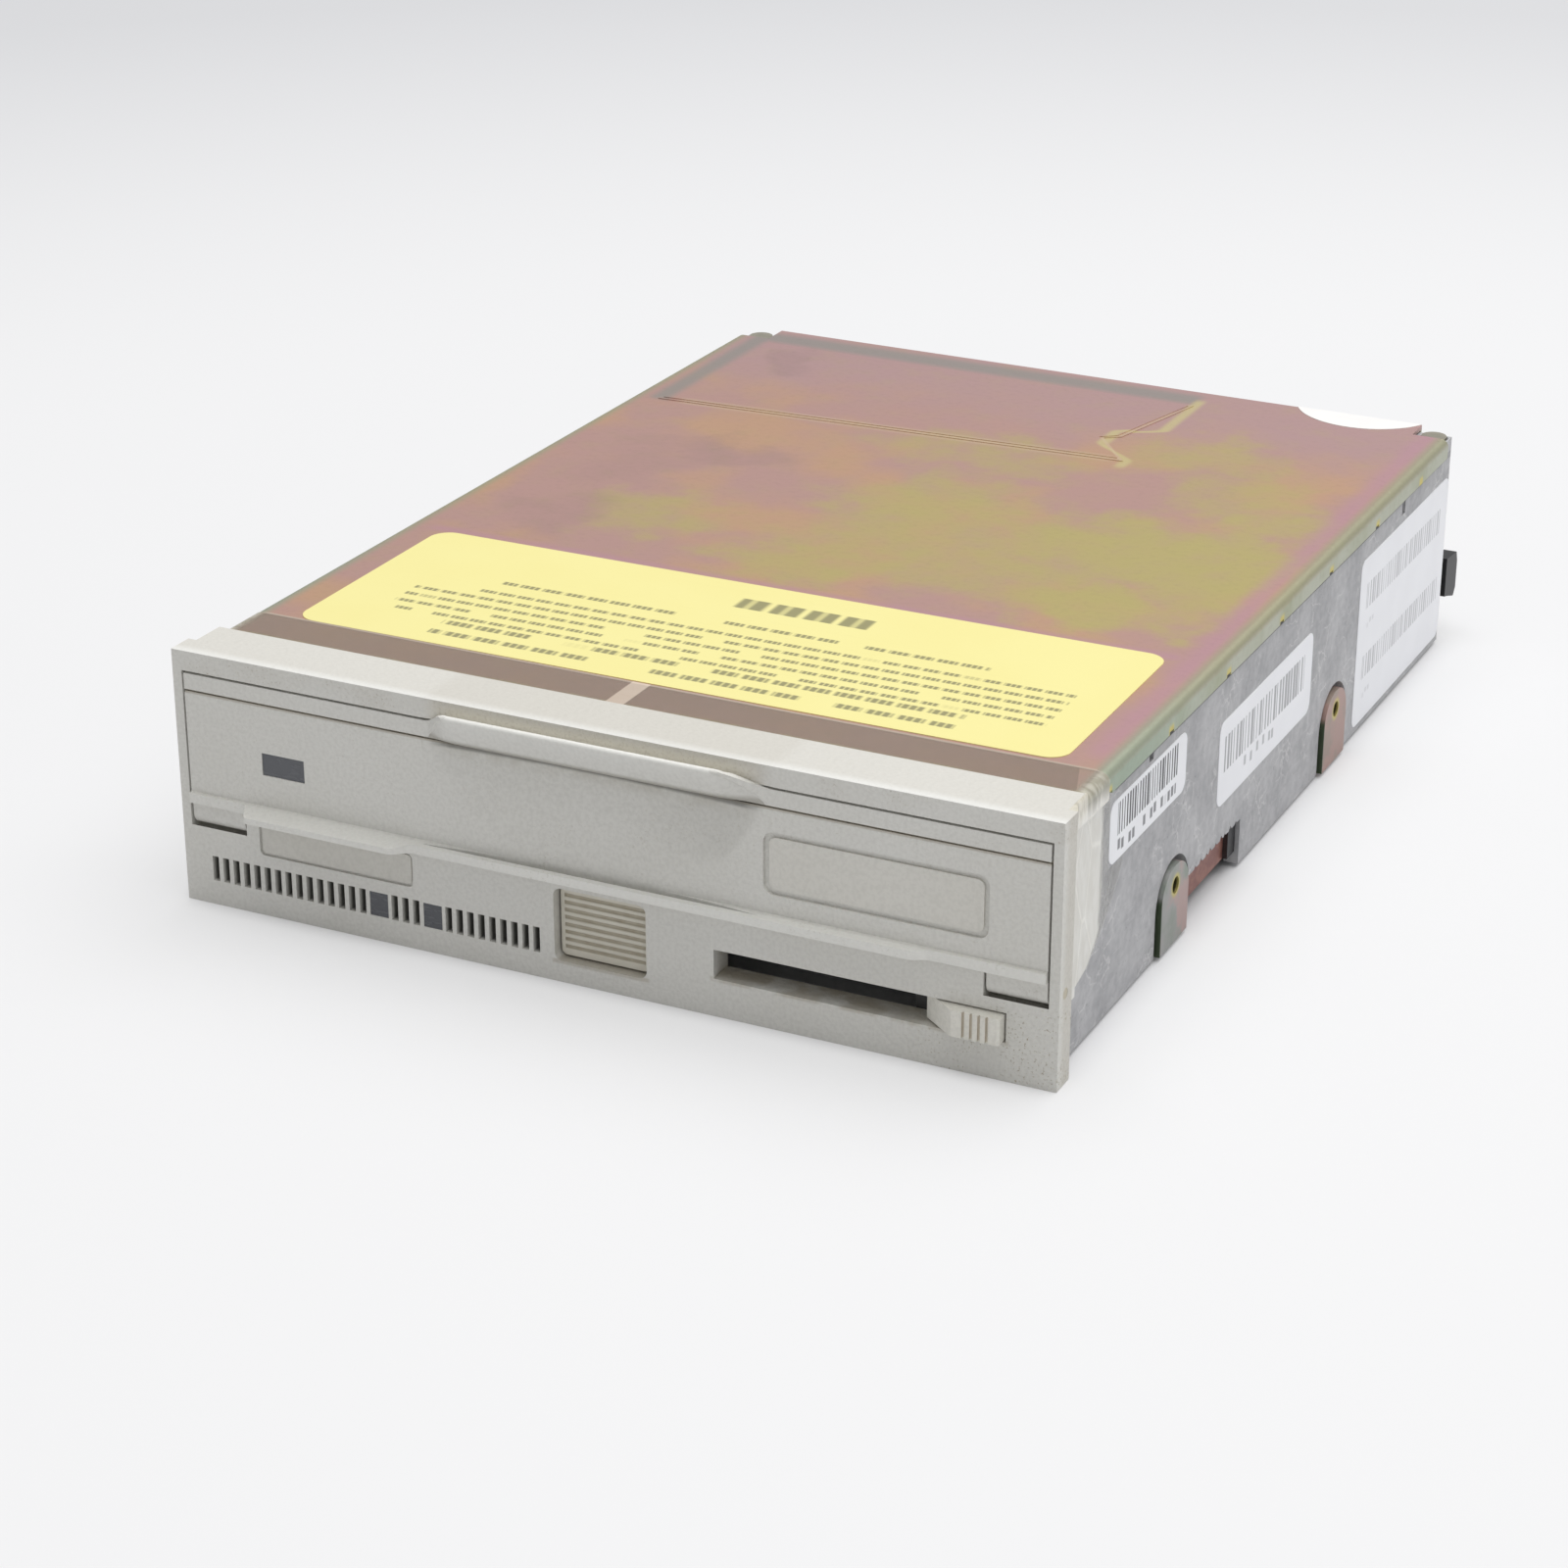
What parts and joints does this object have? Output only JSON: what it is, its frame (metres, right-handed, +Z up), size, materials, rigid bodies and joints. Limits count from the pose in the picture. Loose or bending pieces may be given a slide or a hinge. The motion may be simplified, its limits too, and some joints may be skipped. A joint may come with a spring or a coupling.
{
  "type": "removable disk drive",
  "caption": "Half-height internal disk drive for removable cartridges, with a drop-down front door, a sliding load lever, a stop button and mounting brackets.",
  "frame": {"origin": "centre of the rectangle of the four bottom mounting holes, on the base plane", "axes": "+X to the right seen from the front, -Y out of the front panel, +Y to the connectors at the rear, +Z up"},
  "size_m": [0.1492, 0.2106, 0.0427],
  "materials": {
    "bezel_plastic": "fine texture, warm light grey",
    "door_plastic": "fine texture, warm light grey",
    "window_plastic": "smoke grey, smooth",
    "plaque_plastic": "smooth, bare",
    "plate_plastic": "smooth, bare",
    "pin_plastic": "smooth",
    "lens_plastic": "smoke grey lens",
    "board_laminate": "green solder mask",
    "led_body": "clear amber",
    "switch_plastic": "black",
    "button_plastic": "aged cream",
    "lever_plastic": "warm light grey",
    "slide_steel": "plated sheet",
    "cast_alloy": "mottled, as cast",
    "cover_steel": "yellow chromate plating, iridescent",
    "screw_steel": "zinc plated",
    "bracket_steel": "yellow chromate plating",
    "grommet_rubber": "black",
    "chip_plastic": "black",
    "capacitor_resin": "tan",
    "connector_plastic": "black",
    "pin_gold": "gold plated",
    "socket_plastic": "natural nylon",
    "pin_tin": "tin plated",
    "pack_resin": "blue",
    "guard_plastic": "black",
    "motor_alloy": "turned",
    "shaft_steel": "ground",
    "hub_steel": "turned",
    "rail_steel": "bright sheet",
    "magnet_steel": "nickel plated",
    "arm_alloy": "machined",
    "coil_copper": "enamelled copper",
    "head_ceramic": "polished",
    "ramp_plastic": "natural",
    "filter_paper": "pleated",
    "flex_film": "amber film",
    "label_yellow": "coated paper",
    "label_white": "coated paper",
    "seal_white": "coated paper",
    "tape_film": "clear aged film"
  },
  "bodies": {
    "chassis": {"front_bezel": "bezel_plastic", "bezel_plate": "plate_plastic", "hinge_pins": "pin_plastic", "lens_activity": "lens_plastic", "lens_ready": "lens_plastic", "led_board": "board_laminate", "indicator_leds": "led_body", "stop_switch": "switch_plastic", "base_casting": "cast_alloy", "top_cover": "cover_steel", "cover_screws": "screw_steel", "bracket_right": "bracket_steel", "bracket_left": "bracket_steel", "shock_grommets": "grommet_rubber", "bracket_screws": "screw_steel", "main_board": "board_laminate", "board_chips": "chip_plastic", "board_capacitors": "capacitor_resin", "board_screws": "screw_steel", "data_connector": "connector_plastic", "data_pins": "pin_gold", "power_connector": "socket_plastic", "power_pins": "pin_tin", "jumper_block": "connector_plastic", "terminator_packs": "pack_resin", "rear_guard": "guard_plastic", "rail_right": "rail_steel", "rail_left": "rail_steel", "actuator_base": "magnet_steel", "actuator_shaft": "shaft_steel", "head_ramp": "ramp_plastic", "air_filter": "filter_paper", "flex_strip": "flex_film", "bezel_screws": "screw_steel", "top_label": "label_yellow", "side_label_front": "label_white", "side_label_middle": "label_white", "side_label_rear": "label_white", "rear_seal": "seal_white", "dust_tape": "tape_film"},
    "door": {"front_door": "door_plastic", "door_window": "window_plastic", "door_plaque": "plaque_plastic"},
    "lever": {"load_lever": "lever_plastic", "cam_plate": "slide_steel"},
    "button": {"stop_button": "button_plastic"},
    "motor": {"spindle_motor": "motor_alloy", "lift_pin": "shaft_steel"},
    "hub": {"spindle_hub": "hub_steel"},
    "head_arm": {"actuator_arm": "arm_alloy", "voice_coil": "coil_copper", "read_heads": "head_ceramic"}
  },
  "joints": [
    {"name": "door_hinge", "type": "hinge", "parent": "chassis", "child": "door", "pos_m": [0, -0.08952, 0.0144], "axis": [1, 0, 0], "range_deg": [0, 80]},
    {"name": "lever_slide", "type": "slide", "parent": "chassis", "child": "lever", "axis": [-1, 0, 0], "range_m": [0, 0.033]},
    {"name": "button_press", "type": "slide", "parent": "chassis", "child": "button", "axis": [0, 1, 0], "range_m": [0, 0.002], "stiffness_N_per_m": 400, "springref_m": -0.0005},
    {"name": "motor_lift", "type": "slide", "parent": "chassis", "child": "motor", "axis": [0, 0, 1], "range_m": [0, 0.0025]},
    {"name": "hub_spin", "type": "hinge", "parent": "motor", "child": "hub", "pos_m": [0, -0.01372, 0.014], "axis": [0, 0, 1], "continuous": true},
    {"name": "arm_swing", "type": "hinge", "parent": "chassis", "child": "head_arm", "pos_m": [0.03, 0.07827, 0.026], "axis": [0, 0, 1], "range_deg": [0, 35]}
  ],
  "couplings": [
    {"joint": "motor_lift", "follows": "lever_slide", "ratio": 0.075758}
  ]
}
